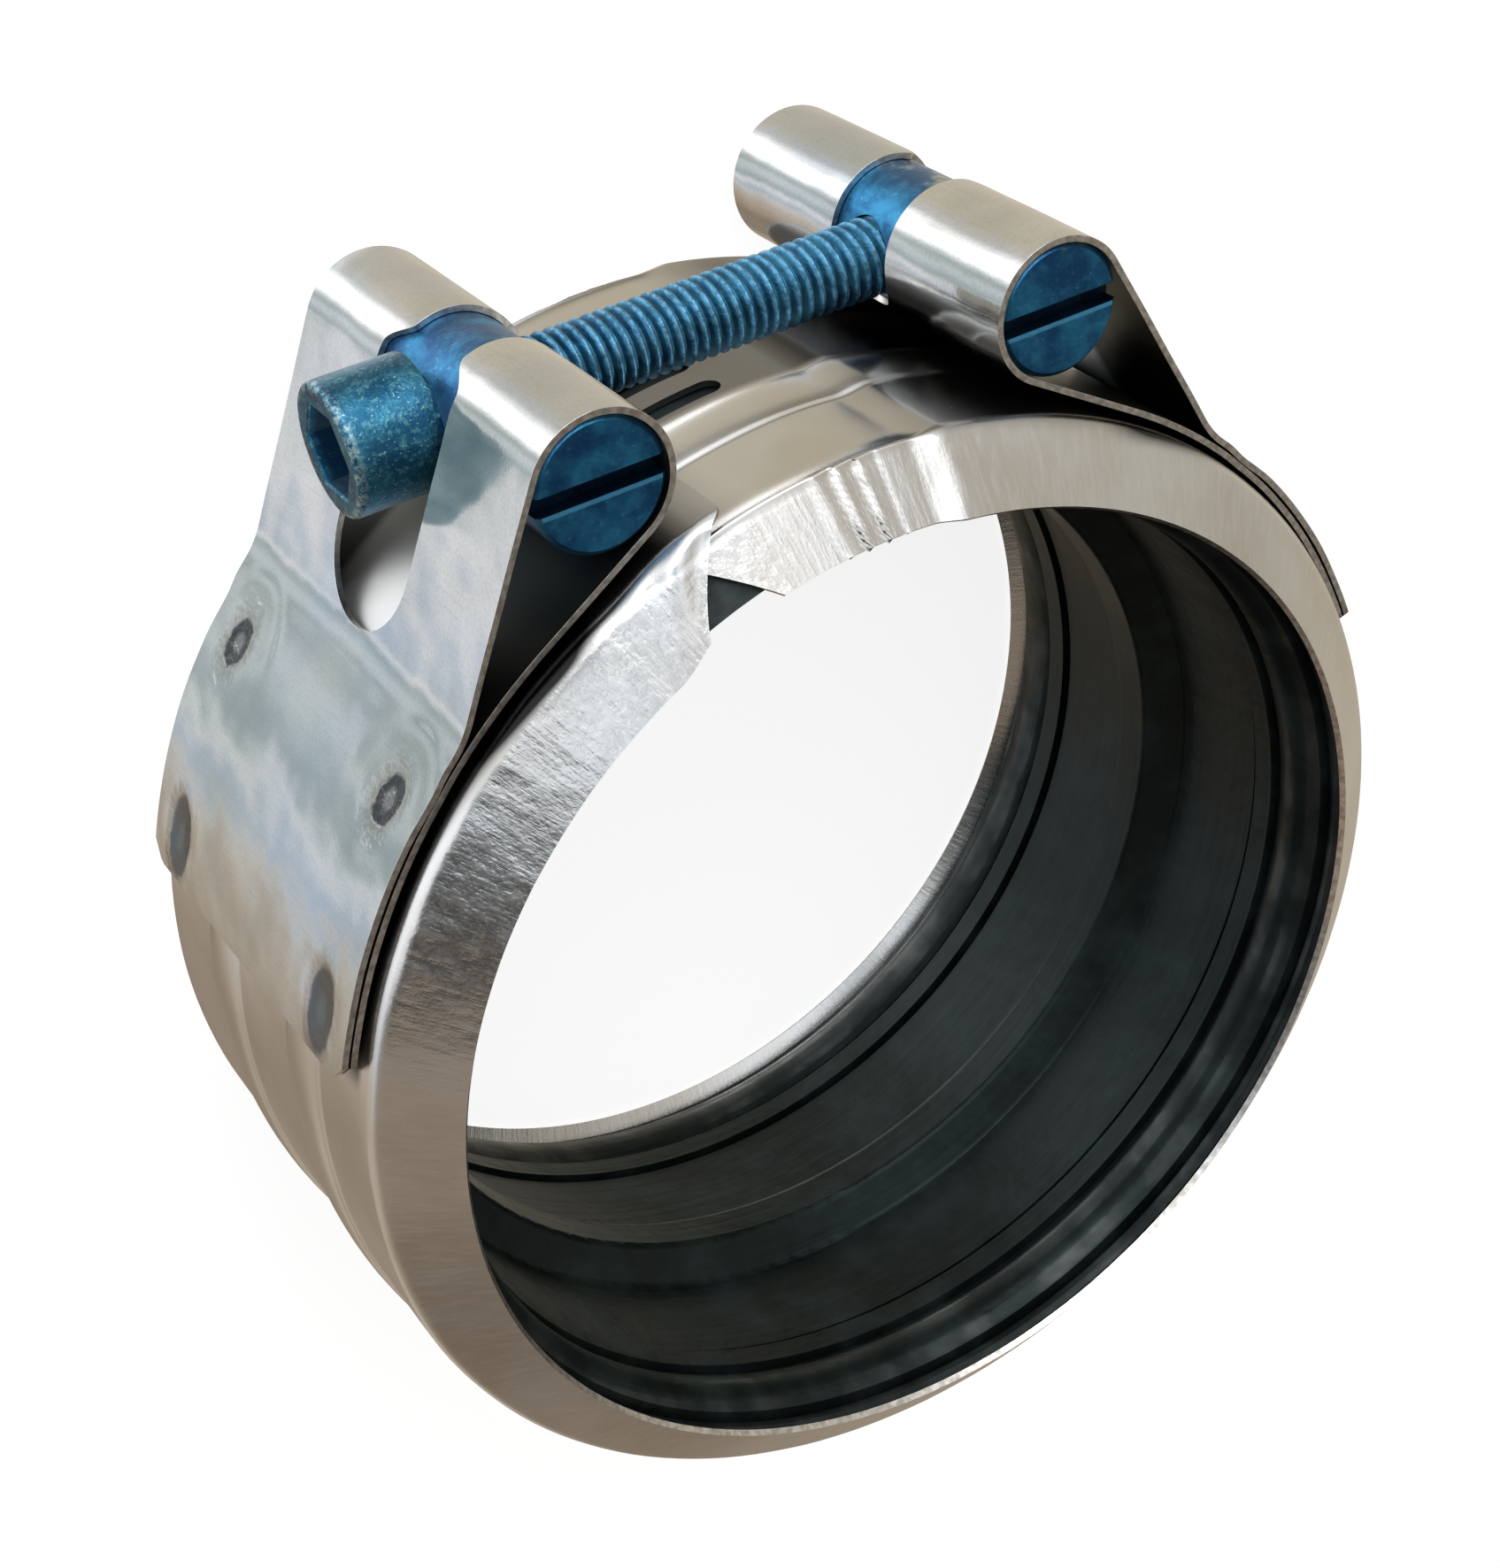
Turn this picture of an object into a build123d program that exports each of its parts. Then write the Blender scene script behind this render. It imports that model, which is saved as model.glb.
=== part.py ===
"""Pipe band clamp: a split steel band over a rubber sleeve, drawn tight by one bolt.

The pipe axis is Z and the ring stands on its rim. Both straps and the bolt are on the -Y side,
and the bolt runs along X with its head at +X. Angles are counted from -Y towards +X.
"""
import os
from math import acos, atan2, cos, degrees, radians, sin, tan

from build123d import *

# Sealing sleeve: moulded rubber with a central stop for the pipe ends
pipe_radius = 39.0
seal_wall = 6.0
seal_clearance = 0.1
land_clearance = 0.4
stop_height = 3.0
stop_crest = 1.75
stop_foot = 3.6
stop_fillet = 0.7
ridge_width = 2.0
groove_width = 0.6
groove_depth = 0.6
lip_inset = 2.9
lip_width = 4.4
lip_crown = 0.5
undercut_width = 0.5
undercut_depth = 0.8
tip_inset = 0.5
tip_chamfer = 0.4

# Band: thin sheet rolled to a ring, both edges turned in, two raised beads round the middle
band_thickness = 0.5
band_width = 47.0
flange_depth = 5.4
flange_angle = 36.4
bend_radius = 1.6
bead_inset = 13.1
bead_width = 5.7
bead_height = 0.45
bead_flank = 0.6

# Lap of the band under the bolt: the nut-side end steps in and runs under the head-side end
lap_end_angle = 13.5
lap_flange_slant = 6.5
lap_gap = 0.05
joggle_start = -9.0
joggle_end = -5.0
tail_end_angle = 28.0
tail_trim_angle = 11.0
tail_trim_slant = 8.0
relief_length = 9.0
relief_width = 2.2
relief_offset = 2.3
relief_angle = 7.0

# Barrels and bolt: M6 socket-head screw through two cross cylinders
barrel_radius = 5.0
barrel_clearance = 0.05
barrel_inset = 0.2
barrel_chamfer = 0.4
barrel_slot_width = 1.4
barrel_slot_depth = 1.3
bolt_radius = 3.0
bolt_clearance = 0.06
bolt_gap = 0.7
bolt_length = 45.0
bolt_recess = 2.09
bolt_point = 0.7
mouth_depth = 0.6
head_radius = 5.0
head_height = 7.0
head_chamfer = 0.35
head_seat_depth = 0.15
head_gap = 0.04
hex_across_flats = 6.0
hex_depth = 3.5
hex_mouth_radius = 3.7
hex_mouth_depth = 0.4

# Straps: one folded sheet each, looped over a barrel and spot-welded to the band
strap_thickness = 0.5
strap_inset = 5.5
strap_seat_gap = 0.03
fold_gap = 0.2
loop_gap = 0.3
leg_bend_turn = 9.95
leg_bend_radius = 4.0
foot_turn = 32.8
foot_cut = 1.5
slot_clearance = 0.7
widening_start = 2.6
widening_end = 3.6
widening_fillet = 0.9
window_clearance = 0.9
window_bottom = 1.0
weld_turns = (8.2, 27.3)
weld_inset = 4.5
weld_radius = 2.1
weld_dimple_radius = 2.6
weld_dimple_depth = 0.3

# How far a cut runs past the surface it opens
overcut = 1.0

# Sizes that follow from those above
shoulder_radius = pipe_radius + seal_wall + seal_clearance + band_thickness
flange_radius = shoulder_radius - flange_depth
bead_far = band_width / 2 - bead_inset
bead_near = bead_far - bead_width
strap_width = band_width - 2 * strap_inset
seat_radius = shoulder_radius + bead_height + strap_seat_gap
inner_face = seat_radius + strap_thickness
outer_face = inner_face + fold_gap
loop_radius = barrel_radius + barrel_clearance
barrel_spacing = bolt_length - 2 * barrel_radius + head_seat_depth - head_gap + bolt_recess
barrel_x = barrel_spacing / 2
bolt_clear_height = shoulder_radius + bolt_gap + bolt_radius
loop_clear_height = ((inner_face + loop_gap + loop_radius) ** 2 - barrel_x**2) ** 0.5
barrel_height = max(bolt_clear_height, loop_clear_height)

os.makedirs("parts", exist_ok=True)


def on_ring(radius, angle):
    """Point of the XY plane at this radius and angle."""
    return Vector(radius * sin(radians(angle)), -radius * cos(radians(angle)))


def radial_plane(angle):
    """Plane through the pipe axis: X is the radius at this angle and Y is the pipe axis."""
    outward = on_ring(1, angle)
    return Plane(origin=(0, 0, 0), x_dir=outward, z_dir=outward.cross(Vector(0, 0, 1)))


def sheet_line(depth):
    """Half of the band's outline, from flange edge to middle, this deep below its outer face."""
    slope = tan(radians(flange_angle))
    edge = band_width / 2 - depth / cos(radians(flange_angle))
    level = shoulder_radius - depth
    crest = level + bead_height
    return [
        (flange_radius, edge),
        (level, edge - (level - flange_radius) * slope),
        (level, bead_far),
        (crest, bead_far - bead_flank),
        (crest, bead_near + bead_flank),
        (level, bead_near),
    ]


def mirrored(points):
    """The points and their mirror images across the middle of the band, as one open outline."""
    return points + [(radius, -z) for radius, z in reversed(points)]


def sheet_section(depth, thickness):
    """Section of a sheet that follows the band's outline, with both of its bends rounded."""
    outer = mirrored(sheet_line(depth))
    inner = mirrored(sheet_line(depth + thickness))
    Polygon(*outer, *reversed(inner), align=None)
    for face_depth in (depth, depth + thickness):
        radius, z = sheet_line(face_depth)[1]
        for corner in ((radius, z), (radius, -z)):
            fillet(vertices().sort_by_distance((*corner, 0))[0], bend_radius - face_depth)


# Tail of the band: the nut-side end, one sheet lower, with its flange cut back on the slant
tail_depth = band_thickness + lap_gap
tail_inner = shoulder_radius - tail_depth - band_thickness
with BuildPart() as tail:
    with BuildSketch(radial_plane(joggle_end)):
        sheet_section(tail_depth, band_thickness)
    revolve(axis=Axis.Z, revolution_arc=tail_end_angle - joggle_end)
    with BuildSketch(Plane.XY.offset(-band_width)):
        with BuildLine():
            Polyline(
                on_ring(flange_radius - overcut, tail_trim_angle),
                on_ring(tail_inner, tail_trim_angle + tail_trim_slant),
                on_ring(tail_inner, tail_end_angle + overcut),
                on_ring(flange_radius - overcut, tail_end_angle + overcut),
                close=True,
            )
        make_face()
    extrude(amount=2 * band_width, mode=Mode.SUBTRACT)
    slot_plane = Plane(
        origin=on_ring(shoulder_radius, relief_angle),
        x_dir=on_ring(1, relief_angle + 90),
        z_dir=on_ring(1, relief_angle),
    )
    with BuildSketch(slot_plane):
        with Locations((0, relief_offset), (0, -relief_offset)):
            SlotOverall(relief_length, relief_width)
    extrude(amount=tail_inner - shoulder_radius - overcut, mode=Mode.SUBTRACT)

# Band: the outer turn, its head-side end cut on the slant, then the joggle down to the tail
with BuildPart() as band:
    with BuildSketch(radial_plane(lap_end_angle)):
        sheet_section(0, band_thickness)
    revolve(axis=Axis.Z, revolution_arc=360 + joggle_start - lap_end_angle)
    with BuildSketch(Plane.XY.offset(-band_width)):
        with BuildLine():
            Polyline(
                on_ring(shoulder_radius, lap_end_angle - overcut),
                on_ring(flange_radius - overcut, lap_end_angle - overcut),
                on_ring(flange_radius - overcut, lap_end_angle + lap_flange_slant),
                on_ring(shoulder_radius - band_thickness, lap_end_angle),
                close=True,
            )
        make_face()
    extrude(amount=2 * band_width, mode=Mode.SUBTRACT)
    with BuildSketch(radial_plane(joggle_start)):
        sheet_section(0, band_thickness)
    with BuildSketch(radial_plane(joggle_end)):
        sheet_section(tail_depth, band_thickness)
    loft(ruled=True)
    add(tail.part)
band.part.label = "band"

# Sealing sleeve: the section of one half from its outer corner to the stop, mirrored and revolved
seal_depth = band_thickness + seal_clearance
land_radius = pipe_radius + land_clearance
groove_radius = land_radius + groove_depth
stop_radius = land_radius - stop_height
lip_end = band_width / 2 - lip_inset
lip_start = lip_end - lip_width
ridge_end = lip_start - groove_width
ridge_start = ridge_end - ridge_width
land_end = ridge_start - groove_width
tip_radius = flange_radius + tip_inset
corner_radius, corner_z = sheet_line(seal_depth)[1]
tip_z = sheet_line(seal_depth)[0][1] - (tip_radius + tip_chamfer - flange_radius) * tan(radians(flange_angle))
undercut_z = lip_end + undercut_width
with BuildPart() as seal:
    with BuildSketch(Plane.XZ):
        with BuildLine():
            Polyline(
                (corner_radius, 0),
                (corner_radius, corner_z),
                (tip_radius + tip_chamfer, tip_z),
                (tip_radius, tip_z - tip_chamfer),
                (tip_radius, undercut_z),
                (tip_radius + undercut_depth, undercut_z),
                (tip_radius + undercut_depth, lip_end),
                (groove_radius, lip_end),
            )
            ThreePointArc(
                (groove_radius, lip_end),
                (pipe_radius, lip_start + lip_width / 2),
                (pipe_radius + lip_crown, lip_start),
            )
            Polyline(
                (pipe_radius + lip_crown, lip_start),
                (groove_radius, lip_start),
                (groove_radius, ridge_end),
                (pipe_radius, ridge_end),
                (pipe_radius, ridge_start),
                (groove_radius, ridge_start),
                (groove_radius, land_end),
                (land_radius, land_end),
                (land_radius, stop_foot),
                (stop_radius, stop_crest),
                (stop_radius, 0),
                (corner_radius, 0),
            )
        make_face()
        for corner in ((land_radius, stop_foot), (stop_radius, stop_crest)):
            fillet(vertices().sort_by_distance((*corner, 0))[0], stop_fillet)
        fillet(vertices().sort_by_distance((corner_radius, corner_z, 0))[0], bend_radius - seal_depth)
        mirror(about=Plane.XZ)
    revolve(axis=Axis.Z)
    with BuildSketch(radial_plane(joggle_start - overcut)):
        sheet_section(band_thickness, tail_depth + seal_clearance)
    revolve(axis=Axis.Z, revolution_arc=tail_end_angle - joggle_start + 2 * overcut, mode=Mode.SUBTRACT)
seal.part.label = "seal"

# Head-side strap: foot, inner leg on the beads, loop round the barrel, outer leg back to the foot
barrel_centre = Vector(barrel_x, -barrel_height)
rise_turn = degrees(acos((inner_face + loop_radius) / barrel_centre.length))
rise_angle = degrees(atan2(barrel_x, barrel_height)) + rise_turn
leg_bend_angle = rise_angle + leg_bend_turn
foot_angle = leg_bend_angle + foot_turn
bend_point = on_ring(outer_face, leg_bend_angle)
from_barrel = bend_point - barrel_centre
leave_angle = degrees(atan2(from_barrel.Y, from_barrel.X)) - degrees(acos(loop_radius / from_barrel.length))
loop_end = barrel_centre + Vector(loop_radius, 0).rotate(Axis.Z, leave_angle)
leg_along = (loop_end - bend_point).normalized()
leg_out = Vector(0, 0, 1).cross(leg_along)
leg_length = (loop_end - bend_point).length
dish_radius = (weld_dimple_radius**2 + weld_dimple_depth**2) / (2 * weld_dimple_depth)
dish_centre = outer_face + strap_thickness - weld_dimple_depth + dish_radius
slot_half = bolt_radius + slot_clearance
window_half = head_radius + window_clearance
weld_z = strap_width / 2 - weld_inset


def strap_face(depth):
    """Face of the folded sheet this far from its barrel side, from foot to foot."""
    leg_start = bend_point + leg_out * depth
    along = -leg_start.dot(leg_along)
    along += (along**2 + (outer_face + depth) ** 2 - leg_start.length**2) ** 0.5
    corner = leg_start + leg_along * along
    corner_angle = degrees(atan2(corner.X, -corner.Y))
    loop = loop_radius + depth
    return [
        CenterArc((0, 0), inner_face - depth, foot_angle - 90, rise_angle - foot_angle),
        Line(on_ring(inner_face - depth, rise_angle), barrel_centre - on_ring(loop, rise_angle)),
        CenterArc(barrel_centre, loop, rise_angle + 90, leave_angle + 270 - rise_angle),
        Line(loop_end + leg_out * depth, corner),
        CenterArc((0, 0), outer_face + depth, corner_angle - 90, foot_angle - corner_angle),
    ]


with BuildPart() as head_strap:
    with BuildSketch():
        with BuildLine():
            near_side = strap_face(0)
            far_side = strap_face(strap_thickness)
            Line(near_side[0] @ 0, far_side[0] @ 0)
            Line(near_side[-1] @ 1, far_side[-1] @ 1)
        make_face()
        fillet(vertices().sort_by_distance(near_side[3] @ 1)[0], leg_bend_radius + strap_thickness)
        fillet(vertices().sort_by_distance(far_side[3] @ 1)[0], leg_bend_radius)
    extrude(amount=strap_width / 2, both=True)
    # Spot welds fuse both legs down to the band's shoulder
    for weld_turn in weld_turns:
        weld_angle = leg_bend_angle + weld_turn
        for weld_place in (Vector(0, 0, weld_z), Vector(0, 0, -weld_z)):
            weld_plane = Plane(
                origin=on_ring(shoulder_radius - overcut, weld_angle) + weld_place,
                z_dir=on_ring(1, weld_angle),
            )
            with BuildSketch(weld_plane):
                Circle(weld_radius)
            extrude(amount=outer_face + strap_thickness / 2 - shoulder_radius + overcut)
            with Locations(on_ring(dish_centre, weld_angle) + weld_place):
                Sphere(dish_radius, mode=Mode.SUBTRACT)
    Cylinder(shoulder_radius, 2 * strap_width, mode=Mode.SUBTRACT)
    # Slot for the bolt round the loop, wider on the outer side to clear the bolt head
    with BuildSketch(Plane.XZ.offset(barrel_height)):
        with BuildLine():
            Polyline(
                (0, slot_half),
                (barrel_x + widening_start, slot_half),
                (barrel_x + widening_end, window_half),
                (barrel_x + 2 * barrel_radius, window_half),
                (barrel_x + 2 * barrel_radius, -window_half),
                (barrel_x + widening_end, -window_half),
                (barrel_x + widening_start, -slot_half),
                (0, -slot_half),
                close=True,
            )
        make_face()
        fillet(vertices().sort_by(Axis.X)[2:6], widening_fillet)
    extrude(amount=2 * barrel_radius, mode=Mode.SUBTRACT)
    with BuildSketch(Plane.YZ):
        with Locations((-barrel_height, 0)):
            Circle(slot_half)
    extrude(amount=barrel_x, mode=Mode.SUBTRACT)
    # Window with a round bottom in the outer leg
    leg_plane = Plane(origin=bend_point, x_dir=leg_along, z_dir=leg_out)
    with BuildSketch(leg_plane) as leg_window:
        with Locations((window_bottom + window_half, 0)):
            Circle(window_half)
            Rectangle(leg_length - window_half, 2 * window_half, align=(Align.MIN, Align.CENTER))
    extrude(amount=2 * strap_thickness, mode=Mode.SUBTRACT)
    extrude(leg_window.sketch, amount=-fold_gap / 2, mode=Mode.SUBTRACT)
    # Clipped corners of the foot
    foot_point = on_ring(outer_face + strap_thickness, foot_angle)
    with BuildSketch(Plane.YZ):
        with BuildLine():
            Polyline(
                (foot_point.Y + overcut, strap_width / 2 - foot_cut),
                (foot_point.Y, strap_width / 2 - foot_cut),
                (foot_point.Y - foot_cut, strap_width / 2),
                (foot_point.Y + overcut, strap_width / 2),
                close=True,
            )
        make_face()
        mirror(about=Plane.XZ)
    extrude(amount=shoulder_radius + strap_width, mode=Mode.SUBTRACT)
head_strap.part.label = "head_strap"

# Nut-side strap: the same folded sheet, mirrored
with BuildPart() as nut_strap:
    add(mirror(head_strap.part, about=Plane.YZ, mode=Mode.PRIVATE))
nut_strap.part.label = "nut_strap"

# Barrels: cross cylinders with a screwdriver slot in the front end and a hole for the bolt
barrel_length = strap_width - 2 * barrel_inset
bore_radius = bolt_radius + bolt_clearance


def barrel(x):
    """Plain barrel at this x, with its chamfers, slot, cross hole and countersunk mouths."""
    with Locations((x, -barrel_height, 0)):
        Cylinder(barrel_radius, barrel_length)
        chamfer(edges().filter_by(GeomType.CIRCLE), barrel_chamfer)
        Cylinder(bore_radius, 4 * barrel_radius, rotation=(0, 90, 0), mode=Mode.SUBTRACT)
    for end in (1, -1):
        with Locations((x, -barrel_height, end * barrel_length / 2)):
            Box(4 * barrel_radius, barrel_slot_width, 2 * barrel_slot_depth, mode=Mode.SUBTRACT)
        with Locations(Plane(origin=(x + end * barrel_radius, -barrel_height, 0), z_dir=(end, 0, 0))):
            Cone(bore_radius, bore_radius + 2 * mouth_depth, 2 * mouth_depth, mode=Mode.SUBTRACT)


with BuildPart() as head_barrel:
    barrel(barrel_x)
    # Flat seat under the bolt head
    head_seat = barrel_x + barrel_radius - head_seat_depth
    with BuildSketch(Plane.YZ.offset(head_seat)):
        with Locations((-barrel_height, 0)):
            Rectangle(2 * head_radius, 2 * window_half)
    extrude(amount=barrel_radius, mode=Mode.SUBTRACT)
head_barrel.part.label = "head_barrel"

with BuildPart() as nut_barrel:
    barrel(-barrel_x)
nut_barrel.part.label = "nut_barrel"

# Bolt: cylindrical head with a hex socket, shank to the thread's outer size
underhead = head_seat + head_gap
with BuildPart() as bolt:
    with BuildSketch(Plane.YZ.offset(underhead)):
        with Locations((-barrel_height, 0)):
            Circle(head_radius)
    extrude(amount=head_height)
    chamfer(edges().filter_by(GeomType.CIRCLE).sort_by(Axis.X)[-1], head_chamfer)
    with BuildSketch(Plane.YZ.offset(underhead + head_height)):
        with Locations((-barrel_height, 0)):
            RegularPolygon(hex_across_flats / 2, 6, major_radius=False)
    extrude(amount=-hex_depth, mode=Mode.SUBTRACT)
    with Locations(Plane(origin=(underhead + head_height, -barrel_height, 0), z_dir=(1, 0, 0))):
        Cone(
            hex_across_flats / 2,
            hex_mouth_radius,
            hex_mouth_depth,
            align=(Align.CENTER, Align.CENTER, Align.MAX),
            mode=Mode.SUBTRACT,
        )
    with BuildSketch(Plane.YZ.offset(underhead)):
        with Locations((-barrel_height, 0)):
            Circle(bolt_radius)
    extrude(amount=-bolt_length)
    chamfer(edges().filter_by(GeomType.CIRCLE).sort_by(Axis.X)[0], bolt_point)
bolt.part.label = "bolt"

for piece in (band, seal, head_strap, nut_strap, head_barrel, nut_barrel, bolt):
    export_step(piece.part, f"parts/{piece.part.label}.step")
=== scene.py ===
import math

import bmesh
import bpy
import numpy as np
from mathutils import Matrix, Vector, noise


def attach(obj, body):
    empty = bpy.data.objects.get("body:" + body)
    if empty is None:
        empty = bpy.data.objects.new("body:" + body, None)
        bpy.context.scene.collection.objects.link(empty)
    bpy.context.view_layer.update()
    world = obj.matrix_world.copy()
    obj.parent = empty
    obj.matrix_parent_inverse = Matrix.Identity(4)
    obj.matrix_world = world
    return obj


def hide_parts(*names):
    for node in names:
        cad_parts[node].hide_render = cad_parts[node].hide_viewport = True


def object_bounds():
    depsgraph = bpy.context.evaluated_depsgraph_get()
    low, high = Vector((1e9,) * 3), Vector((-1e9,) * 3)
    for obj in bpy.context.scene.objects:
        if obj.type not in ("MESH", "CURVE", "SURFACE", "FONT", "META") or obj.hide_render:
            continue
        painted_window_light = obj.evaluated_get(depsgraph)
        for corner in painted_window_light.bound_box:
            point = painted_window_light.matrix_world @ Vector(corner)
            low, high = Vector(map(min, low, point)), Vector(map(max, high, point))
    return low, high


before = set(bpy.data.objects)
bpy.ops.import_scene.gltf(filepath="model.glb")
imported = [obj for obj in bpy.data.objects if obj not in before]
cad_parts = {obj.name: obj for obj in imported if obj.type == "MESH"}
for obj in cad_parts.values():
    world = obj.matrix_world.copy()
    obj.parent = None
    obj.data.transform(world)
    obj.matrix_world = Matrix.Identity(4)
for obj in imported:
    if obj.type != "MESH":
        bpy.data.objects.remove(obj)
cad_box = [list(corner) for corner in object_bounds()]

# Studio
# The clamp stands on its rear rim on a pale sheet, seen from above and from its bolt head's side.
# Its polished sheet shows the room round it, which is pale overhead and warm towards the back.

eye = (0.085051, -0.133251, 0.164567)
right = (-0.849210, 0.113705, 0.515668)
up = (-0.372902, -0.820554, -0.433168)
back = (0.373880, -0.560145, 0.739224)
picture_width = 1695
focal_pixels = 3115.9

camera_data = bpy.data.cameras.new("camera")
camera_data.sensor_fit = "HORIZONTAL"
camera_data.sensor_width = 36
camera_data.lens = focal_pixels / picture_width * camera_data.sensor_width
camera_data.clip_start = 0.01
camera_data.clip_end = 20


def stand(name, data):
    """New object for this camera, light or mesh, put in the scene."""
    thing = bpy.data.objects.new(name, data)
    bpy.context.scene.collection.objects.link(thing)
    return thing


camera = stand("camera", camera_data)
camera.matrix_world = Matrix([
    [right[0], up[0], back[0], eye[0]],
    [right[1], up[1], back[1], eye[1]],
    [right[2], up[2], back[2], eye[2]],
    [0, 0, 0, 1],
])
bpy.context.scene.camera = camera
bpy.context.scene.view_settings.view_transform = "Standard"


class Tone:
    """A socket in a material or in the room, written in expressions like a number."""

    def __init__(self, tree, socket=None):
        self.tree = tree
        self.socket = socket

    def node(self, kind, settings=None, sockets=None, out=0):
        """Add any node, with its settings first and then the values or links of its sockets."""
        made = self.tree.nodes.new(kind)
        for key, value in (settings or {}).items():
            if key == "stops":
                ramp = made.color_ramp.elements
                while len(ramp) < len(value):
                    ramp.new(1)
                for stop, (place, colour) in zip(ramp, value):
                    stop.position = place
                    stop.color = (*colour, 1)
            else:
                setattr(made, key, value)
        for key, value in (sockets or {}).items():
            if isinstance(value, Tone):
                self.tree.links.new(value.socket, made.inputs[key])
            else:
                made.inputs[key].default_value = value
        return Tone(self.tree, made.outputs[out])

    def maths(self, operation, *values):
        return self.node("ShaderNodeMath", {"operation": operation}, dict(enumerate(values)))

    def __add__(self, other):
        return self.maths("ADD", self, other)

    def __radd__(self, other):
        return self.maths("ADD", other, self)

    def __sub__(self, other):
        return self.maths("SUBTRACT", self, other)

    def __rsub__(self, other):
        return self.maths("SUBTRACT", other, self)

    def __mul__(self, other):
        return self.maths("MULTIPLY", self, other)

    def __rmul__(self, other):
        return self.maths("MULTIPLY", other, self)

    def __truediv__(self, other):
        return self.maths("DIVIDE", self, other)

    def __pow__(self, other):
        return self.maths("POWER", self, other)

    def __abs__(self):
        return self.maths("ABSOLUTE", self)

    def rise(self, low, high):
        """0 below low and 1 above high, with a soft step between; the reverse if low is higher."""
        if low > high:
            return 1 - self.rise(high, low)
        sockets = {"Value": self, "From Min": low, "From Max": high}
        return self.node("ShaderNodeMapRange", {"interpolation_type": "SMOOTHSTEP"}, sockets)

    def blend(self, dark, light):
        """The first colour where this is 0 and the second where it is 1."""
        dark, light = (c if isinstance(c, Tone) else (*c, 1) for c in (dark, light))
        return self.node("ShaderNodeMix", {"data_type": "RGBA"}, {0: self, 6: dark, 7: light}, out=2)

    def parts(self):
        """The three numbers of a vector."""
        return [self.node("ShaderNodeSeparateXYZ", {}, {0: self}, out=i) for i in range(3)]

    def grain(self, size, detail=2, rough=0.5):
        """Cloudy noise from 0 to 1 whose patches are about this many millimetres across."""
        sockets = {"Vector": self, "Scale": 1 / size, "Detail": detail, "Roughness": rough}
        return self.node("ShaderNodeTexNoise", {}, sockets)

    def relief(self, strength, distance):
        """Surface direction for this height, whose full range is this many metres deep."""
        sockets = {"Strength": strength, "Distance": distance, "Height": self}
        return self.node("ShaderNodeBump", {}, sockets)


def finish(name, metallic=0.0, gloss=0.5):
    """New material: itself, its shader node, and the place on the piece in millimetres."""
    material = bpy.data.materials.new(name)
    material.use_nodes = True
    shader = material.node_tree.nodes["Principled BSDF"]
    shader.inputs["Metallic"].default_value = metallic
    shader.inputs["Specular IOR Level"].default_value = gloss
    here = Tone(material.node_tree).node("ShaderNodeTexCoord", out=3)
    place = here.node("ShaderNodeVectorMath", {"operation": "SCALE"}, {0: here, "Scale": 1000})
    return material, shader, place


def feed(shader, **tones):
    """Link tones to the shader's sockets, named with underscores for spaces."""
    for socket, tone in tones.items():
        tone.tree.links.new(tone.socket, shader.inputs[socket.replace("_", " ")])


pale_sheet, shader, place = finish("pale_sheet", gloss=0)
feed(shader, Base_Color=place.grain(400, 1).blend((0.32, 0.32, 0.33), (0.36, 0.36, 0.36)))
shader.inputs["Roughness"].default_value = 0.9
shader.inputs["Emission Color"].default_value = (1, 1, 1, 1)
shader.inputs["Emission Strength"].default_value = 0.84
floor_z = cad_box[0][2]
floor_half = 3
floor_mesh = bpy.data.meshes.new("floor")
floor_mesh.from_pydata(
    [(x * floor_half, y * floor_half, floor_z) for x, y in ((-1, -1), (1, -1), (1, 1), (-1, 1))],
    [], [(0, 1, 2, 3)])
floor_mesh.materials.append(pale_sheet)
floor = stand("floor", floor_mesh)
floor.visible_glossy = False
floor.visible_diffuse = False

panel = bpy.data.lights.new("soft_panel", "AREA")
panel.shape = "RECTANGLE"
panel.size = 0.5
panel.size_y = 0.35
panel.energy = 1.5
light = stand("soft_panel", panel)
light.location = (0.05, -0.53, 0.27)
light.rotation_mode = "QUATERNION"
light.rotation_quaternion = light.location.to_track_quat("Z", "Y")

# The room by compass, from 0 at the back round -X to -Y at 0.5, below and above the horizon
room_low = [(0.0, (0.31, 0.25, 0.19)), (0.09, (0.50, 0.43, 0.33)), (0.20, (0.70, 0.63, 0.51)),
            (0.47, (0.74, 0.68, 0.55)), (0.53, (0.80, 0.79, 0.76)), (0.575, (2.05, 2.05, 2.05)),
            (0.638, (2.0, 2.0, 2.0)), (0.658, (0.90, 0.96, 0.97)), (0.675, (0.56, 0.63, 0.63)),
            (0.70, (0.90, 0.94, 0.97)), (0.715, (0.83, 0.90, 0.93)), (0.74, (0.50, 0.59, 0.61)),
            (0.762, (1.10, 1.10, 1.12)), (0.774, (0.95, 0.97, 1.0)), (0.785, (0.55, 0.68, 0.84)),
            (0.797, (0.90, 0.88, 0.86)), (0.82, (0.73, 0.64, 0.54)), (0.86, (0.58, 0.48, 0.38)),
            (0.92, (0.36, 0.29, 0.22))]
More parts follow.
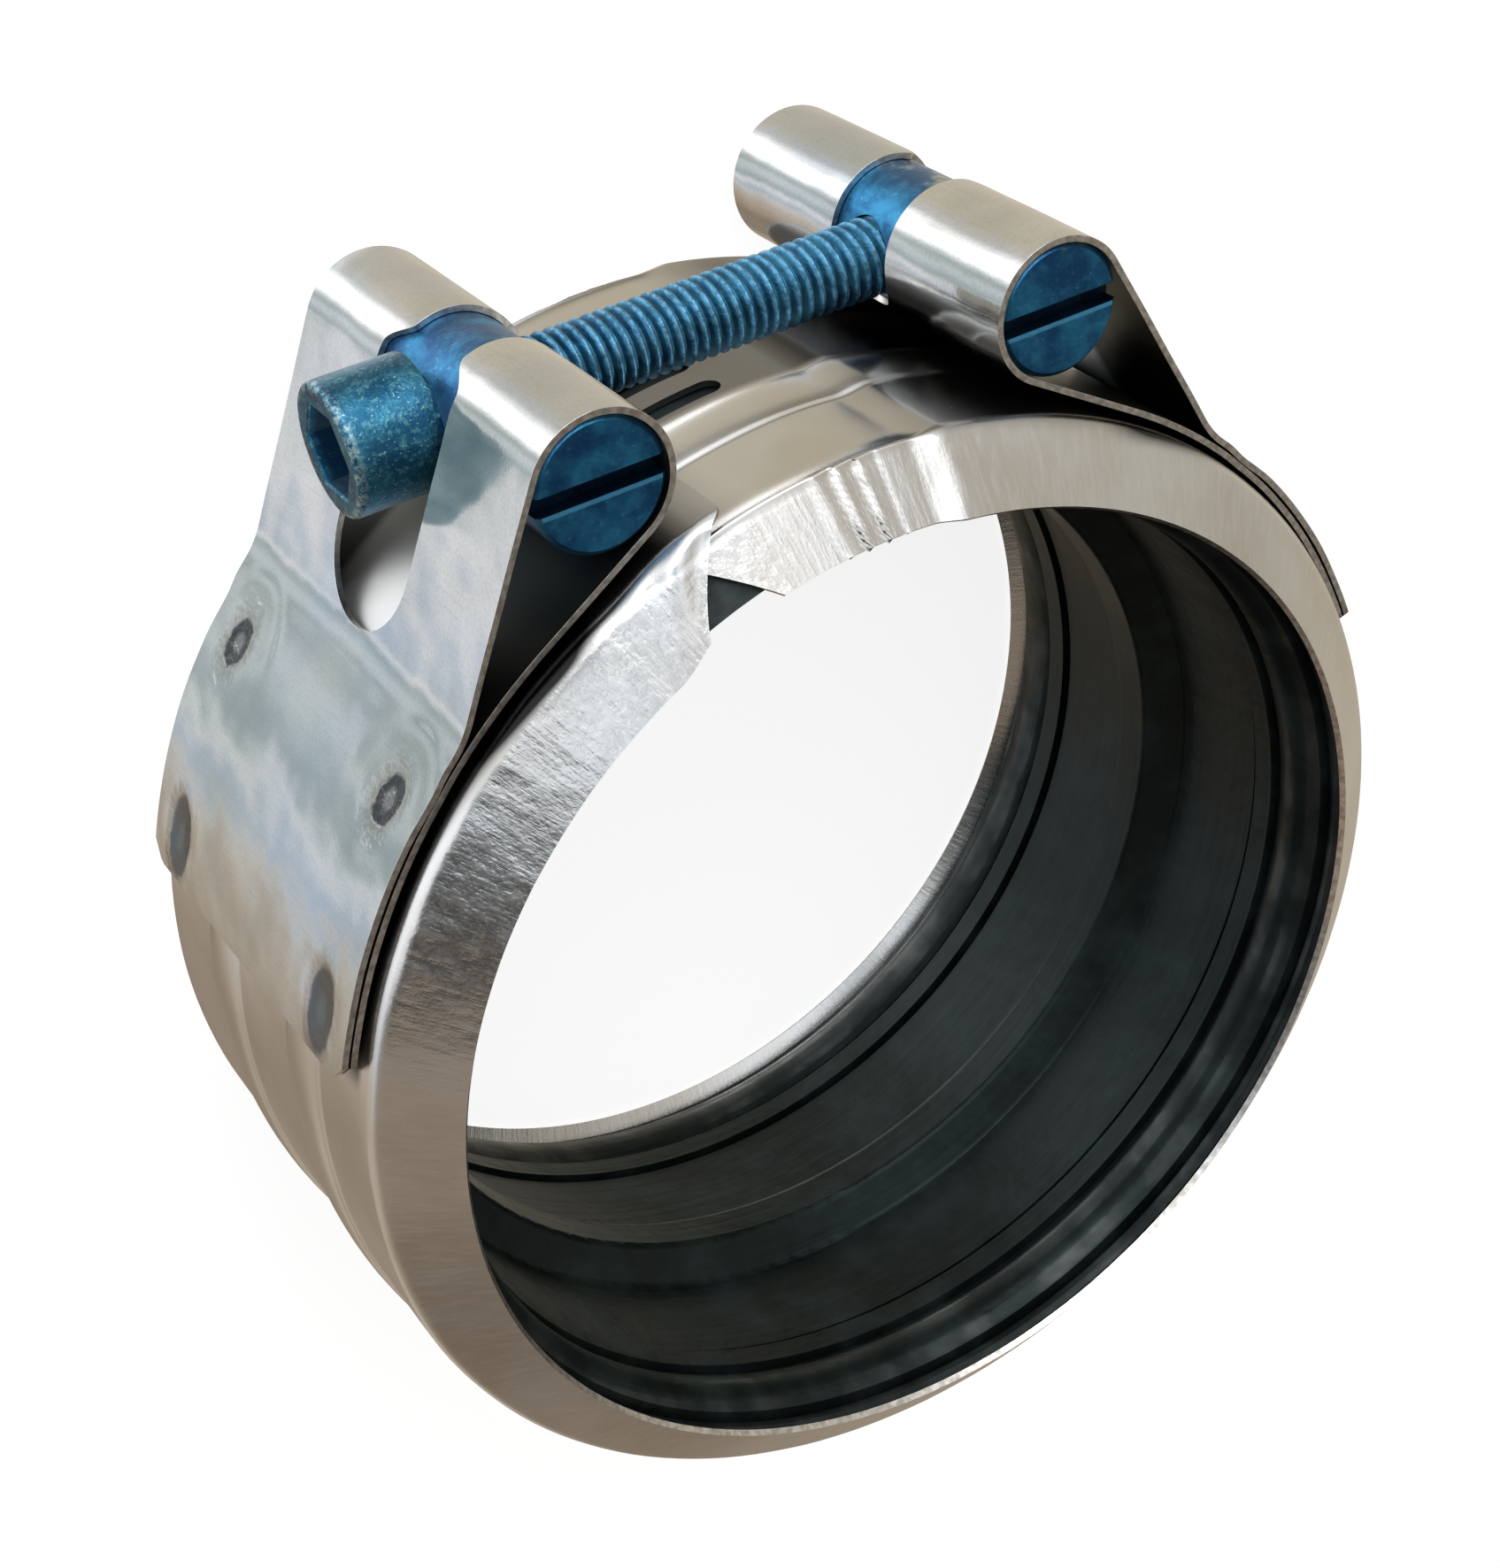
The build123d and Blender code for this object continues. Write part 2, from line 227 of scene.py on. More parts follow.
room_high = [(0.0, (0.20, 0.165, 0.135)), (0.10, (0.15, 0.14, 0.13)), (0.19, (0.48, 0.44, 0.37)),
             (0.27, (0.64, 0.60, 0.51)), (0.38, (0.68, 0.65, 0.59)), (0.415, (1.02, 1.03, 1.04)),
             (0.515, (1.5, 1.53, 1.57)), (0.545, (0.36, 0.42, 0.47)), (0.57, (0.42, 0.49, 0.55)),
             (0.605, (1.8, 1.84, 1.9)), (0.635, (1.05, 1.12, 1.18)), (0.656, (0.75, 0.84, 0.9)),
             (0.67, (0.22, 0.23, 0.23)), (0.70, (0.07, 0.07, 0.07)), (0.78, (0.01, 0.01, 0.01)),
             (0.79, (0.42, 0.35, 0.28)), (0.84, (0.40, 0.32, 0.25)), (0.90, (0.26, 0.21, 0.165))]
world = bpy.data.worlds.new("studio")
bpy.context.scene.world = world
world.use_nodes = True
outwards = Tone(world.node_tree).node("ShaderNodeTexCoord")
wave = outwards.node("ShaderNodeTexNoise", {}, {"Vector": outwards, "Scale": 2.2, "Detail": 1}) - 0.5
x, y, z = outwards.parts()
compass = x.maths("ARCTAN2", x, y * -1) / (2 * math.pi) + 0.5 + wave * 0.05
low = compass.node("ShaderNodeValToRGB", {"stops": room_low}, {0: compass})
high = compass.node("ShaderNodeValToRGB", {"stops": room_high}, {0: compass})
window = abs(z + 0.05).rise(0.5, 0.3) * compass.rise(0.42, 0.50) * compass.rise(0.79, 0.72)
# Low down the room is dim to the south and warm to the east, and the ground is pale and dark there
south = compass.rise(0.26, 0.34) * compass.rise(0.56, 0.50)
gloom = (z.rise(-0.70, -0.55) * z.rise(-0.1, -0.3) * south * 0.7).blend(low, (0.14, 0.135, 0.125))
depth = (z.rise(-0.89, -0.92) * south).blend(gloom, (2.3, 2.3, 2.3))
east = compass.rise(0.79, 0.83)
depth = (z.rise(-0.72, -0.58) * z.rise(-0.2, -0.4) * east).blend(depth, (0.64, 0.55, 0.44))
depth = (z.rise(-0.84, -0.92) * east).blend(depth, (0.14, 0.11, 0.09))
room = window.blend((z + wave * 0.2).rise(-0.25, 0.2).blend(depth, high), (1.5, 1.53, 1.56))
world.node_tree.links.new(room.socket, world.node_tree.nodes["Background"].inputs["Color"])

# Sleeve
# Moulded rubber with a rib in the middle for the pipes to stop at, and lips that seal on them.
# It is almost black, with a faint bloom and the flow marks of its mould.



def turn_round(x, y):
    """Degrees of a place round the pipe axis, from 0 at -Y to 90 at +X."""
    return x.maths("ARCTAN2", x, y * -1) * (180 / math.pi)


rubber, shader, place = finish("black_rubber", gloss=0.27)
x, y, z = place.parts()
bloom = place.grain(6, 3, 0.6)
turn = turn_round(x, y)
reach = (x * x + y * y) ** 0.5
flow_marks = place.node("ShaderNodeCombineXYZ", {}, {0: turn * 0.02, 1: z, 2: reach})
rings = flow_marks.grain(0.8, 3)
lip = abs(z).rise(15.6, 16.6)
feed(shader,
     Base_Color=bloom.rise(0.4, 0.75).blend((0.003, 0.0045, 0.0045), (0.012, 0.018, 0.018)),
     Roughness=0.28 + bloom * 0.22 + rings * 0.1,
     Coat_Weight=lip * bloom.rise(0.35, 0.7) * 0.5,
     Normal=(bloom + rings * 0.25).relief(0.4, 0.0006))
shader.inputs["Coat Roughness"].default_value = 0.12
shader.inputs["Specular Tint"].default_value = (0.72, 0.90, 0.90, 1)
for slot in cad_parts["seal"].material_slots:
    slot.material = rubber

# Band
# A thin stainless strip, beaded and rolled to a ring, with both edges beaten in to a cone.
# One end steps in by its own thickness and runs on under the other, so the ring can close.

band_sheet = 0.5
shoulder = 45.6
flange_edge = (40.2, 23.5)
flange_slope = math.radians(36.4)
bend_inside = 1.6
bead_near, bead_far, bead_height, bead_flank, bead_dome = 4.7, 10.4, 0.45, 0.5, 0.7
lap_start, lap_end = 13.5, 388.0
step_from, step_to, step_depth = 351.0, 355.0, 0.55
end_spring, end_draw = 1.0, 0.5
pleat_start, pleat_width, pleat_depth = 358.0, 2.37, 0.2
slot_turn, slot_z, slot_length, slot_width = 7, 2.3, 9, 2.2


def soft(x):
    """Smooth step from 0 to 1."""
    x = np.clip(x, 0, 1)
    return x * x * (3 - 2 * x)


def lumps(points, size):
    """Smooth uneven numbers about -1 to 1 over these points, in patches of this size."""
    flat = points.reshape(-1, 3) / size
    return np.array([noise.noise(Vector(p)) for p in flat]).reshape(points.shape[:-1]) * 1.6


def band_section():
    """Half of the band's outer line, from the flange's edge to the middle, as rows of radius, z
    and how much the sheet is turned in there, from 0 on the ring to 1 on the flange."""
    corner_z = flange_edge[1] - (shoulder - flange_edge[0]) * math.tan(flange_slope)
    turn = math.pi / 2 - flange_slope
    tangent = bend_inside * math.tan(turn / 2)
    centre = (shoulder - bend_inside, corner_z - tangent)
    foot = (shoulder - tangent * math.cos(flange_slope), corner_z + tangent * math.sin(flange_slope))
    rows = [(flange_edge[0] + t * (foot[0] - flange_edge[0]),
             flange_edge[1] + t * (foot[1] - flange_edge[1]), 1) for t in np.linspace(0, 1, 11)[:-1]]
    for t in np.linspace(0, 1, 8):
        angle = turn * (1 - t)
        rows.append((centre[0] + bend_inside * math.cos(angle),
                     centre[1] + bend_inside * math.sin(angle), 1 - t))
    levels = [*np.linspace(centre[1], bead_far + 0.4, 7)[1:],
              *np.linspace(bead_far, bead_far - bead_flank, 6),
              *np.linspace(bead_far - bead_flank, bead_near + bead_flank, 6)[1:],
              *np.linspace(bead_near + bead_flank, bead_near, 6)[1:],
              *np.linspace(bead_near - 0.3, 0, 5)]
    for z in levels:
        across = min(abs(2 * z - bead_far - bead_near) / (bead_far - bead_near), 1)
        flanks = soft((bead_far - z) / bead_flank) * soft((z - bead_near) / bead_flank)
        lift = (1 - bead_dome) * flanks + bead_dome * (1 - across ** 2.2)
        rows.append((shoulder + bead_height * lift, z, 0))
    return np.array(rows)


def band_face(angle, radius, z, turned):
    """Place of the band's outer face at these angles, for these columns of its section."""
    side = np.sign(z)
    # The first end springs outwards, with its edge drawn back
    crushed = soft((26 - angle) / 7)
    pulled = end_draw * crushed * np.clip((shoulder - radius) / 5.4, 0, 1) * (turned > 0.9)
    radius = radius + pulled + end_spring * soft((27 - angle) / 11)
    z = z - side * pulled * math.tan(flange_slope)
    step = step_depth * soft((angle - step_from) / (step_to - step_from))
    radius = radius - step * (1 - turned)
    z = z - side * step * turned / math.cos(flange_slope)
    turn = np.radians(angle)
    spot = np.stack([radius * np.sin(turn), -radius * np.cos(turn), z], -1)
    # Hammer marks are deep on the flange's first stretch and shallow on the rest, the tail's
    # flange is pleated in three flats, and the first end is crushed
    radial = np.stack([np.radians(angle) * shoulder, radius * 0.35, side * 9], -1)
    beaten = 0.25 + 0.75 * soft((75 - angle) / 15) + 0.4 * soft((angle - 330) / 20)
    calm = soft(abs(angle - 366.5) / 8 - 1)
    dent = calm * beaten * (0.045 * lumps(spot, 3.0) + 0.02 * lumps(radial, 1.3))
    pleat = (angle - pleat_start) / pleat_width
    dent = dent + pleat_depth * (pleat % 1 - 0.5) * soft(pleat * 8) * soft((3 - pleat) * 8)
    dent = dent + 0.16 * np.sin((angle - 15) * 1.1 + radius * 1.3) * crushed
    dent = dent * turned * soft((turned - 0.2) / 0.8)
    wavy = 0.03 * lumps(spot, 7.0) * (1 - turned)
    radius = radius + dent * math.sin(flange_slope) + wavy
    z = z + side * dent * math.cos(flange_slope)
    return np.stack([radius * np.sin(turn), -radius * np.cos(turn), z], -1)


def below(grid, thickness, flip):
    """Face of a sheet that lies this far under a grid of points."""
    normal = np.cross(np.gradient(grid, axis=0), np.gradient(grid, axis=1))
    normal /= np.maximum(np.linalg.norm(normal, axis=-1, keepdims=True), 1e-12)
    return grid - normal * thickness * flip


def bent_sheet(name, patches, finishes):
    """Closed mesh of a bent sheet. A patch is a grid of its outer face, one of its inner face,
    and the grid's bare edges as slices. The edges take the second finish, and the inner
    face takes the third, if there is one."""
    corners, faces, marks = [], [], []
    start = 0
    for outer, inner, edges in patches:
        rows, columns = outer.shape[:2]
        index = np.arange(rows * columns).reshape(rows, columns) + start
        quads = np.stack([index[:-1, :-1], index[1:, :-1], index[1:, 1:], index[:-1, 1:]], -1)
        quads = quads.reshape(-1, 4)
        under = rows * columns
        faces += [quads, quads[:, ::-1] + under]
        marks += [0] * len(quads) + [len(finishes) - 1 if len(finishes) > 2 else 0] * len(quads)
        for edge in edges:
            line = index[edge]
            faces.append(np.stack([line[:-1], line[1:], line[1:] + under, line[:-1] + under], -1))
            marks += [1] * (len(line) - 1)
        corners += [outer.reshape(-1, 3), inner.reshape(-1, 3)]
        start += 2 * under
    places = np.clip(np.concatenate(corners) / 1000, cad_box[0], cad_box[1])
    mesh = bpy.data.meshes.new(name)
    mesh.from_pydata(places.tolist(), [], np.concatenate(faces).tolist())
    for material in finishes:
        mesh.materials.append(material)
    mesh.polygons.foreach_set("material_index", marks)
    shape = bmesh.new()
    shape.from_mesh(mesh)
    bmesh.ops.remove_doubles(shape, verts=shape.verts, dist=1e-7)
    bmesh.ops.recalc_face_normals(shape, faces=shape.faces)
    shape.to_mesh(mesh)
    shape.free()
    mesh.polygons.foreach_set("use_smooth", [True] * len(mesh.polygons))
    return stand(name, mesh)


def soften(piece, width):
    """Round the piece's sharp edges a little."""
    rim = piece.modifiers.new("rim", "BEVEL")
    rim.width = width / 1000
    rim.segments = 2
    rim.limit_method = "ANGLE"
    rim.angle_limit = math.radians(50)
    rim.harden_normals = True


half = band_section()
section = np.concatenate([half, (half * (1, -1, 1))[-2::-1]])
radius, z, turned = section.T
inward = np.clip((shoulder - radius) / 5.9, 0, 1)
base = np.concatenate([
    np.arange(lap_start, 70, 0.7), np.arange(70, 342, 2), np.linspace(342, lap_end, 150)])
# The first end is cut back on its flange, and the tail's flange ends on the slant
first_end = 7.6 * inward + soft((45.7 - radius) / 0.5) * (turned > 0)
last_end = np.where(turned > 0.3, 371 + 8 * (radius - 39.2) / 5.35 - lap_end, 0)
angle = (base[:, None] + first_end * soft(1 - (base[:, None] - lap_start) / 22)
         + last_end * soft((base[:, None] - 343) / 45))
grid = band_face(angle, *np.broadcast_arrays(radius, z, turned, angle)[:3])

steel, shader, place = finish("rolled_stainless", metallic=1)
x, y, z = place.parts()
reach = (x * x + y * y) ** 0.5
turn = turn_round(x, y)
flange = reach.rise(45.4, 44.8) * abs(z).rise(19.2, 19.8)
rolled = place.node("ShaderNodeCombineXYZ", {}, {0: turn * 0.8, 1: reach * 0.2, 2: z * 0.05})
streaks = rolled.grain(0.55, 3, 0.65)
hammered = place.grain(1.1, 3, 0.6)
fine = place.grain(0.22, 2)
cloud = place.grain(11, 2)
beaten = turn.rise(75, 60) * turn.rise(-12, -4)
grey = cloud.rise(0.35, 0.65).blend((0.56, 0.54, 0.51), (0.63, 0.63, 0.63))
worn = (hammered.rise(0.35, 0.7) * beaten * turn.rise(9, 14) * 0.3 + streaks.rise(0.4, 0.7) * 0.4) * flange
# Painted shade: the steel is darkened under the straps' feet and along their edges, and in the nook behind
# the bolt, where shade and dark reflections fall
foot_edge = (abs(z) + (abs(turn) - 40) * 0.06).rise(20.1, 19.0)
painted_strap_shade = foot_edge * abs(turn).rise(26, 34) * abs(turn).rise(77, 74)
painted_nook_shade = abs(turn - 3).rise(6, 17) * abs(turn).rise(44, 36) * abs(z).rise(20.5, 18.5) * 0.8
painted_nook_shade = painted_nook_shade + abs(turn).rise(44, 36) * abs(z).rise(5.0, 3.6) * 0.7
blows = streaks * (0.14 + beaten * 0.16) + hammered * beaten * 0.45 * turn.rise(9, 14)
feed(shader,
     Base_Color=(painted_strap_shade * 0.93 + painted_nook_shade).blend(worn.blend(grey, (0.72, 0.72, 0.72)), (0.02, 0.02, 0.02)),
     Roughness=0.16 + fine * 0.1 + cloud * 0.06 + worn * 0.12,
     Normal=(flange * blows + cloud * 0.8 + fine * 0.04).relief(0.5, 0.0003))

cut_edge, shader, place = finish("sheared_edge", metallic=1)
feed(shader, Base_Color=place.grain(0.6, 3).rise(0.3, 0.7).blend((0.42, 0.39, 0.36), (0.72, 0.69, 0.66)))
shader.inputs["Roughness"].default_value = 0.33

ring = bent_sheet("steel_band", [(grid, below(grid, band_sheet, -1), [
    np.s_[0, :], np.s_[-1, :], np.s_[:, 0], np.s_[:, -1]])], [steel, cut_edge])


def long_hole(angle, z, length, width):
    """Round-ended bar through the band's wall, to cut a hole with."""
    bow = (length - width) / 2
    outline = [(bow + width / 2 * math.cos(t), width / 2 * math.sin(t))
               for t in np.linspace(-math.pi / 2, math.pi / 2, 13)]
    outline += [(-u, -v) for u, v in outline]
    turn = math.radians(angle)
    corners = [((reach * math.sin(turn) + u * math.cos(turn)) / 1000,
                (-reach * math.cos(turn) + u * math.sin(turn)) / 1000, (z + v) / 1000)
               for reach in (shoulder - 2.5, shoulder + 1.5) for u, v in outline]
    n = len(outline)
    faces = [tuple(range(n))[::-1], tuple(range(n, 2 * n))]
    faces += [(i, (i + 1) % n, n + (i + 1) % n, n + i) for i in range(n)]
    mesh = bpy.data.meshes.new("long_hole")
    mesh.from_pydata(corners, [], faces)
    return stand("long_hole", mesh)


bars = [long_hole(slot_turn, side * slot_z, slot_length, slot_width) for side in (1, -1)]
for bar in bars:
    knife = ring.modifiers.new("hole", "BOOLEAN")
    knife.operation = "DIFFERENCE"
    knife.solver = "EXACT"
    knife.object = bar
bpy.context.view_layer.update()
pierced = bpy.data.meshes.new_from_object(ring.evaluated_get(bpy.context.evaluated_depsgraph_get()))
ring.modifiers.clear()
ring.data = pierced
for bar in bars:
    bpy.data.objects.remove(bar)
soften(ring, 0.08)
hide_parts("band")
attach(ring, "clamp")

# Straps
# Each is one stainless strip folded back on itself, with the fold left as a loop for a barrel.
# Both legs are spot-welded to the band, and a slot and a round-ended window let the bolt through.

strap_sheet = 0.5
inner_leg, outer_leg = 46.58, 46.78
barrel_x, barrel_y, loop_inside = 18.6, -49.3, 5.05
foot_turn = 32.8
strap_half = 18.0
slot_half, window_half, window_middle = 3.7, 5.9, 6.9
leg_bend = 9.0
welds = ((8.2, 13.5), (27.3, 13.5))
foot_clip = 1.5


def at(radius, angle):
    """Point round the pipe axis, this far from it and this many degrees from -Y."""
    return np.array([radius * math.sin(math.radians(angle)), -radius * math.cos(math.radians(angle))])


middle = np.array([barrel_x, barrel_y])
spread = math.hypot(barrel_x, barrel_y)
rise_angle = math.degrees(math.atan2(barrel_x, -barrel_y) + math.acos((inner_leg + loop_inside) / spread))
bend_angle = rise_angle + 9.95
foot_angle = bend_angle + foot_turn


def window_width(place):
    """Half the window's width, this far above the bend of the outer leg."""
    lower = max(window_middle - place, 0)
    return math.sqrt(max(window_half ** 2 - lower ** 2, 0))


def strap_line():
    """The folded strip's face on the barrel's side, from the inner leg's foot to the outer leg's,
    as rows of x, y, the direction of its outer side and half the opening's width."""
    line = [(*at(inner_leg, angle), *-at(1, angle), 0)
            for angle in np.linspace(foot_angle, rise_angle, 48)[:-1]]
    touch = middle - at(loop_inside, rise_angle)
    for t in np.linspace(0, 1, 10)[:-1]:
        line.append((*(at(inner_leg, rise_angle) * (1 - t) + touch * t), *-at(1, rise_angle), 0))
    bend = at(outer_leg, bend_angle)
    span = bend - middle
    leave = math.degrees(math.atan2(span[1], span[0]) - math.acos(loop_inside / np.hypot(*span)))
    slot_reach = math.asin(slot_half / (loop_inside + strap_sheet / 2))
    turns = [*np.linspace(90 + rise_angle, 180 - math.degrees(slot_reach), 5)[:-1]]
    turns += [180 - math.degrees(math.asin(math.sin(slot_reach) * math.cos(t)))
              for t in np.linspace(0, math.pi / 2, 12)]
    turns += [*np.linspace(180, 360 + leave, 52)[1:]]
    for angle in turns:
        out = np.array([math.cos(math.radians(angle)), math.sin(math.radians(angle))])
        face = middle + out * (loop_inside + strap_sheet / 2)
        opening = slot_half + (window_half - slot_half) * float(soft((face[0] - 20.7) / 1.9))
        if angle <= 180:
            opening = math.sqrt(max(slot_half ** 2 - (face[1] - barrel_y) ** 2, 0))
        line.append((*(middle + loop_inside * out), *out, opening))
    leaves = np.array(line[-1][:2])
    length = np.linalg.norm(leaves - bend)
    along = (leaves - bend) / length
    # The outer leg meets the ring in a hollow bend
    near = bend + out * leg_bend
    shift = -near @ along + math.sqrt((near @ along) ** 2 + (outer_leg + leg_bend) ** 2 - near @ near)
    centre = near + along * shift
    places = [*np.linspace(length, window_middle, 16)[1:]]
    places += [window_middle - window_half * math.sin(t) for t in np.linspace(0, math.pi / 2, 14)[1:]]
    for place in [p for p in places if p > shift + 0.05] + [shift]:
        line.append((*(bend + along * place), *out, window_width(place)))
    first = math.atan2(-out[1], -out[0])
    last = math.atan2(-centre[1], -centre[0])
    last += round((first - last) / (2 * math.pi)) * 2 * math.pi
    arc = leg_bend * abs(last - first)
    places = [p for p in places if p < shift - 0.05]
    places += [*np.linspace(min(shift, window_middle - window_half), shift - arc, 9)[1:]]
    for place in places:
        angle = first + (last - first) * (shift - place) / arc
        inward = np.array([math.cos(angle), math.sin(angle)])
        line.append((*(centre + leg_bend * inward), *-inward, window_width(place)))
    touch_angle = math.degrees(math.atan2(centre[0], -centre[1]))
    line += [(*at(outer_leg, angle), *at(1, angle), 0)
             for angle in np.linspace(touch_angle, foot_angle, 40)[1:]]
    return np.array(line)


line = strap_line()
path, outside, opening = line[:, :2], line[:, 2:4], line[:, 4]
travel = np.concatenate([[0], np.cumsum(np.linalg.norm(np.diff(path, axis=0), axis=1))])
from_foot = np.minimum(travel, travel[-1] - travel)[:, None]
inner_half = (travel < travel[-1] / 2)[:, None]
flow = np.gradient(path, axis=0)
flow /= np.linalg.norm(flow, axis=1, keepdims=True)


def weld_dip(x, y, z):
    """How far the strip is pressed towards the ring round its spot welds."""
    angle = np.degrees(np.arctan2(np.abs(x), -y)) - bend_angle
    dip = 0
    for weld_turn, weld_z in welds:
        away = np.hypot(np.radians(angle - weld_turn) * outer_leg, np.abs(z) - weld_z)
        dimple = 0.22 * np.exp(-(away / 2.0) ** 2) - 0.05 * np.exp(-((away - 3.3) / 0.8) ** 2)
        hollow = 0.12 * np.exp(-(away / 5.0) ** 2)
        # A pressed edge arches over each weld next to the leg
        arch = 0.18 * soft((6.2 - away) / 1.3) * soft((weld_turn + 2 - angle) / 5) * (weld_turn < 10)
        dip = dip + dimple + hollow + arch
    return dip


def strap(name, mirror, node):
    """One strap, which takes the place of its solid."""
    patches = []
    open_rows = np.where(opening > 1e-6)[0]
    for side in (1, -1):
        z = side * (opening[:, None] + np.linspace(0, 1, 30) * (strap_half - opening[:, None]))
        clip = np.clip(np.abs(z) - strap_half + foot_clip, 0, None) * soft(1 - from_foot / 8)
        clip = np.where(inner_half, clip, -clip)
        face = path[:, None] + flow[:, None] * clip[..., None]
        hug = np.where(inner_half, 1, -1) * (from_foot < 35) * weld_dip(face[..., 0], face[..., 1], z)
        hug = hug * np.where(inner_half, 0.3, 1)
        spots = np.concatenate([face, z[..., None]], -1)
        hug = hug + 0.028 * lumps(spots, 6.0) * ~inner_half * soft((travel[-1] - travel[:, None] - 1) / 6)
        face = face + outside[:, None] * hug[..., None]
        rim = face + outside[:, None] * strap_sheet
        outer = np.concatenate([rim * (mirror, 1), z[..., None]], -1)
        inner = np.concatenate([face * (mirror, 1), z[..., None]], -1)
        patches.append((outer, inner, [
            np.s_[0, :], np.s_[-1, :], np.s_[:, -1], np.s_[open_rows[0] - 1:open_rows[-1] + 2, 0]]))
    piece = bent_sheet(name, patches, [strap_steel, cut_edge, shaded_fold_steel])
    soften(piece, 0.08)
    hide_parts(node)
    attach(piece, "clamp")


strap_steel, shader, place = finish("pressed_stainless", metallic=1)
x, y, z = place.parts()
turn = turn_round(abs(x), y)
fine = place.grain(0.25, 2)
cloud = place.grain(9, 2)
tint = place.grain(15, 1)
swell = place.grain(9, 2)
colour = cloud.rise(0.35, 0.65).blend((0.56, 0.57, 0.56), (0.66, 0.66, 0.655))
foot_colour = cloud.rise(0.3, 0.7).blend((0.45, 0.48, 0.47), (0.57, 0.58, 0.57))
colour = turn.rise(bend_angle - 1, bend_angle + 3).blend(colour, foot_colour)
colour = tint.rise(0.5, 0.75).blend(colour, (0.53, 0.57, 0.62))
scratch = place.node("ShaderNodeCombineXYZ", {}, {0: turn * 1.5, 1: abs(x), 2: z * 0.12}).grain(0.5, 3, 0.6)
colour = (fine.rise(0.4, 0.7) * 0.16 + scratch.rise(0.55, 0.7) * 0.12).blend(colour, (0.30, 0.31, 0.31))
height = fine * 0.025 + swell * 1.9
# Next to the leg a weld is a small black ring in a brown halo, and near the foot's end a grey patch
black_ring = {"shift": 0, "long": 0.6, "halo": (3.0, 1.2), "halo_colour": (0.33, 0.30, 0.25),
              "burn": (1.7, 1.3), "burn_colour": (0.22, 0.22, 0.22), "ring": 0.85, "rim": 1.1, "pits": 1.2}
grey_patch = {"shift": 1, "long": 0.3, "halo": (2.9, 1.7), "halo_colour": (0.27, 0.27, 0.27),
              "burn": (2.1, 1.6), "burn_colour": (0.10, 0.115, 0.13), "ring": 0.3, "rim": 0.5, "pits": 0.6}
for (weld_turn, weld_z), mark in zip(welds, (black_ring, grey_patch)):
    along = (turn - bend_angle - weld_turn - mark["shift"]) * (math.radians(1) * outer_leg)
    across = abs(z) - weld_z
    ragged = (place.grain(1.1, 2) - 0.5) * 0.7
    away = (along * along * mark["long"] + across * across) ** 0.5 + ragged
    halo = away.rise(*mark["halo"])
    burnt = away.rise(*mark["burn"])
    colour = (halo * 0.7).blend(colour, mark["halo_colour"])
    colour = (burnt * 0.85).blend(colour, mark["burn_colour"])
    colour = (burnt * away.rise(0.35, 0.9) * mark["ring"]).blend(colour, (0.04, 0.045, 0.05))
    height = height + halo * (1 - burnt) * mark["rim"] + burnt * place.grain(0.8, 3) * mark["pits"]
feed(shader,
     Base_Color=colour,
     Roughness=0.08 + fine * 0.05 + cloud * 0.05 + burnt * 0.18,
     Normal=height.relief(0.5, 0.0003))

# Inside the fold the steel is rougher, with painted shade that darkens it towards the ring, and painted
# light on the inner leg where the window ends
shaded_fold_steel, shader, place = finish("shaded_fold_stainless", metallic=1)
x, y, z = place.parts()
turn = turn_round(abs(x), y)
reach = (x * x + y * y) ** 0.5
painted_window_light = turn.rise(25, 41) * abs(z).rise(7.5, 6)
colour = reach.rise(49.5, 52.5).blend((0.05, 0.048, 0.044), (0.30, 0.30, 0.23))
feed(shader,
     Base_Color=painted_window_light.blend(colour, (0.62, 0.63, 0.63)),
     Roughness=0.3 + place.grain(4, 3) * 0.15)

strap("steel_head_strap", 1, "head_strap")
strap("steel_nut_strap", -1, "nut_strap")

# Barrels
# Turned steel pins in the straps' loops, slotted for a screwdriver and drilled across for the
# bolt. They have a deep blue coating that is rubbed thin on top.

barrel_half = 17.8
deep_blue, shader, place = finish("blue_barrel", metallic=0.85)
x, y, z = place.parts()
from_axis = ((abs(x) - barrel_x) ** 2 + (y - barrel_y) ** 2) ** 0.5
patch = place.grain(2.8, 3, 0.6)
speck = place.grain(0.35, 2)
rim = from_axis.rise(4.5, 4.95) * abs(z).rise(barrel_half - 0.7, barrel_half - 0.3)
colour = patch.rise(0.35, 0.7).blend((0.012, 0.09, 0.24), (0.03, 0.24, 0.46))
colour = (speck.rise(0.66, 0.74) * 0.5 + rim * 0.35).blend(colour, (0.14, 0.42, 0.60))
colour = (abs(z).rise(barrel_half - 0.5, barrel_half - 0.1) * 0.15).blend(colour, (0.008, 0.02, 0.04))
# Painted shade darkens the screwdriver slot, and a painted highlight runs along one edge of it
painted_slot_shade = abs(y - barrel_y).rise(0.76, 0.7) * abs(z).rise(barrel_half - 1.5, barrel_half - 1.35)
colour = (painted_slot_shade * 0.9).blend(colour, (0.001, 0.006, 0.015))
painted_slot_highlight = abs(y - barrel_y - 0.85).rise(0.26, 0.1) * abs(z).rise(barrel_half - 0.1, barrel_half - 0.03)
colour = (painted_slot_highlight * 0.9).blend(colour, (0.10, 0.42, 0.75))
bared = (x.rise(-17, -20) * y.rise(-53.2, -54.1) * patch.rise(0.42, 0.58)).blend(colour, (0.48, 0.47, 0.38))
feed(shader,
     Base_Color=bared,
     Roughness=0.24 + patch * 0.2,
     Normal=(patch + speck * 0.15).relief(0.3, 0.0003))
for node in ("head_barrel", "nut_barrel"):
    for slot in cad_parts[node].material_slots:
        slot.material = deep_blue
